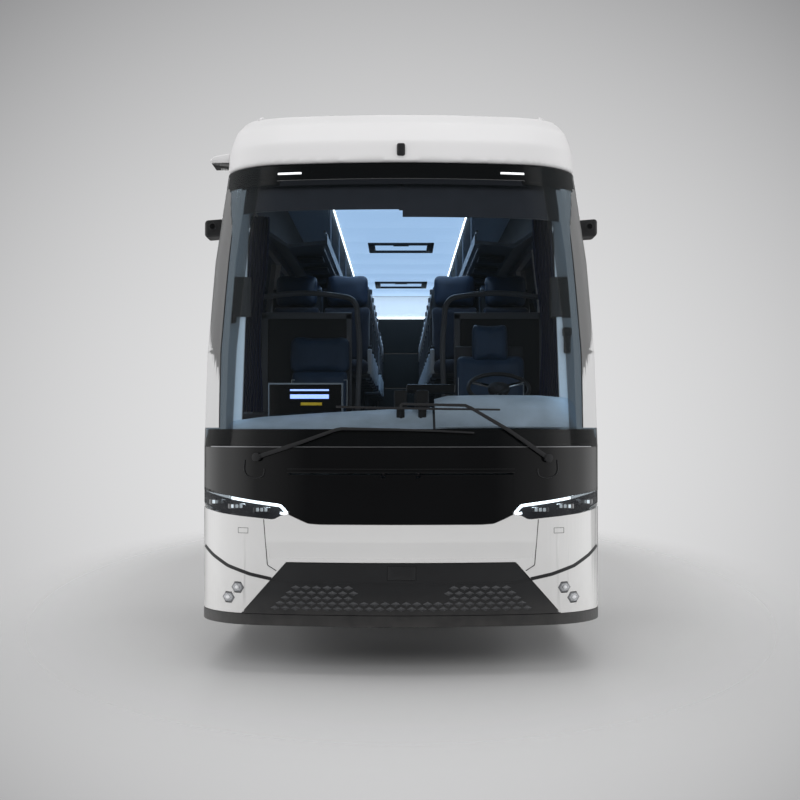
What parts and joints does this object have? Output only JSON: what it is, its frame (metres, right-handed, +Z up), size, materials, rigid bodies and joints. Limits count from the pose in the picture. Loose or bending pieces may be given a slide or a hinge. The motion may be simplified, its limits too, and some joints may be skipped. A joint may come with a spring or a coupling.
{
  "type": "coach bus",
  "caption": "High-deck touring coach with a curved windscreen, steered front axle, twin rear tyres, outward-swinging doors, luggage flaps, an engine lid and a full cabin.",
  "frame": {"origin": "on the ground below the middle of the coach's length and width", "axes": "+X to the coach's left side, +Y rearwards (the coach faces -Y), +Z up"},
  "size_m": [2.63, 12.1331, 3.7998],
  "materials": {
    "white_paint": "gloss",
    "black_gloss": "gloss",
    "black_satin": "satin",
    "screen_glass": "polished",
    "side_glass": "polished",
    "lamp_cover": "gloss",
    "red_lens": "gloss",
    "tyre_rubber": "matte",
    "wheel_steel": "satin",
    "axle_iron": "matte",
    "frame_steel": "matte",
    "bellows_rubber": "matte",
    "floor_trim": "matte",
    "grey_trim": "matte",
    "light_trim": "satin",
    "seat_fabric": "woven",
    "arm_steel": "satin"
  },
  "bodies": {
    "coach": {"bumper_lip": "black_satin", "bumper_insert": "black_satin", "front_mask": "white_paint", "headlamps": "lamp_cover", "corner_lamps": "lamp_cover", "screen_frame": "white_paint", "windscreen": "screen_glass", "side_wall_left": "white_paint", "side_wall_right": "white_paint", "side_windows": "side_glass", "rear_wall": "white_paint", "tail_lamps": "red_lens", "rear_window": "side_glass", "roof_cap": "white_paint", "roof": "white_paint", "roof_unit": "white_paint", "roof_hatches": "white_paint", "camera_pods": "black_satin", "wipers": "black_satin", "front_axle": "axle_iron", "rear_axle": "axle_iron", "air_springs": "bellows_rubber", "chassis_frame": "frame_steel", "deck": "floor_trim", "luggage_floor": "floor_trim", "engine": "axle_iron", "dashboard": "grey_trim", "steering_wheel": "black_satin", "crew_seats": "seat_fabric", "passenger_seats": "seat_fabric", "partitions": "grey_trim", "luggage_racks": "light_trim", "ceiling": "light_trim", "sun_blinds": "black_satin", "cab_fittings": "black_satin"},
    "front_lid": {"front_lid_panel": "black_gloss", "front_lid_apron": "white_paint"},
    "front_left_knuckle": {"knuckle_left": "axle_iron"},
    "front_right_knuckle": {"knuckle_right": "axle_iron"},
    "front_left_wheel": {"front_tyre_left": "tyre_rubber", "front_rim_left": "wheel_steel"},
    "front_right_wheel": {"front_tyre_right": "tyre_rubber", "front_rim_right": "wheel_steel"},
    "rear_left_wheels": {"rear_tyres_left": "tyre_rubber", "rear_rims_left": "wheel_steel"},
    "rear_right_wheels": {"rear_tyres_right": "tyre_rubber", "rear_rims_right": "wheel_steel"},
    "front_door_arm_pair": {"front_door_arms": "arm_steel"},
    "front_door": {"front_door_leaf": "white_paint", "front_door_glass": "side_glass"},
    "mid_door_arm_pair": {"mid_door_arms": "arm_steel"},
    "mid_door": {"mid_door_leaf": "white_paint", "mid_door_glass": "side_glass"},
    "engine_cover": {"engine_lid": "white_paint"},
    "flap_left_1": {"luggage_flap_left_1": "white_paint"},
    "flap_left_2": {"luggage_flap_left_2": "white_paint"},
    "flap_left_3": {"luggage_flap_left_3": "white_paint"},
    "flap_right_1": {"luggage_flap_right_1": "white_paint"},
    "flap_right_2": {"luggage_flap_right_2": "white_paint"}
  },
  "joints": [
    {"name": "steer_left", "type": "hinge", "parent": "coach", "child": "front_left_knuckle", "pos_m": [0.935, -3.29, 0.522], "axis": [0, 0, 1], "range_deg": [-45, 45]},
    {"name": "front_left_spin", "type": "hinge", "parent": "front_left_knuckle", "child": "front_left_wheel", "pos_m": [1.096, -3.29, 0.522], "axis": [1, 0, 0], "continuous": true},
    {"name": "rear_left_spin", "type": "hinge", "parent": "coach", "child": "rear_left_wheels", "pos_m": [1.096, 2.76, 0.522], "axis": [1, 0, 0], "continuous": true},
    {"name": "steer_right", "type": "hinge", "parent": "coach", "child": "front_right_knuckle", "pos_m": [-0.935, -3.29, 0.522], "axis": [0, 0, 1], "range_deg": [-45, 45]},
    {"name": "front_right_spin", "type": "hinge", "parent": "front_right_knuckle", "child": "front_right_wheel", "pos_m": [-1.096, -3.29, 0.522], "axis": [1, 0, 0], "continuous": true},
    {"name": "rear_right_spin", "type": "hinge", "parent": "coach", "child": "rear_right_wheels", "pos_m": [-1.096, 2.76, 0.522], "axis": [1, 0, 0], "continuous": true},
    {"name": "front_door_swing", "type": "hinge", "parent": "coach", "child": "front_door_arm_pair", "pos_m": [-1.105, -5.205, 0.68], "axis": [0, 0, 1], "range_deg": [0, 146.01]},
    {"name": "front_door_level", "type": "hinge", "parent": "front_door_arm_pair", "child": "front_door", "pos_m": [-1.19, -4.71228, 0.68], "axis": [0, 0, 1], "range_deg": [-146.01, 0]},
    {"name": "mid_door_swing", "type": "hinge", "parent": "coach", "child": "mid_door_arm_pair", "pos_m": [-1.105, 2.023, 0.68], "axis": [0, 0, -1], "range_deg": [0, 146.01]},
    {"name": "mid_door_level", "type": "hinge", "parent": "mid_door_arm_pair", "child": "mid_door", "pos_m": [-1.19, 1.53028, 0.68], "axis": [0, 0, -1], "range_deg": [-146.01, 0]},
    {"name": "flap_left_1_lift", "type": "hinge", "parent": "coach", "child": "flap_left_1", "pos_m": [1.266, -1.807, 1.241], "axis": [0, -1, 0], "range_deg": [0, 95]},
    {"name": "flap_left_2_lift", "type": "hinge", "parent": "coach", "child": "flap_left_2", "pos_m": [1.266, -0.265, 1.241], "axis": [0, -1, 0], "range_deg": [0, 95]},
    {"name": "flap_left_3_lift", "type": "hinge", "parent": "coach", "child": "flap_left_3", "pos_m": [1.266, 1.277, 1.241], "axis": [0, -1, 0], "range_deg": [0, 95]},
    {"name": "flap_right_1_lift", "type": "hinge", "parent": "coach", "child": "flap_right_1", "pos_m": [-1.266, -1.6465, 1.241], "axis": [0, 1, 0], "range_deg": [0, 95]},
    {"name": "flap_right_2_lift", "type": "hinge", "parent": "coach", "child": "flap_right_2", "pos_m": [-1.266, 0.2165, 1.241], "axis": [0, 1, 0], "range_deg": [0, 95]},
    {"name": "front_lid_lift", "type": "hinge", "parent": "coach", "child": "front_lid", "pos_m": [0, -6.041, 1.22442], "axis": [-1, 0, 0], "range_deg": [0, 75]},
    {"name": "engine_cover_lift", "type": "hinge", "parent": "coach", "child": "engine_cover", "pos_m": [0, 6.041, 1.366], "axis": [1, 0, 0], "range_deg": [0, 80]}
  ],
  "couplings": [
    {"joint": "steer_right", "follows": "steer_left", "ratio": 1},
    {"joint": "front_door_level", "follows": "front_door_swing", "ratio": -1},
    {"joint": "mid_door_level", "follows": "mid_door_swing", "ratio": -1}
  ]
}
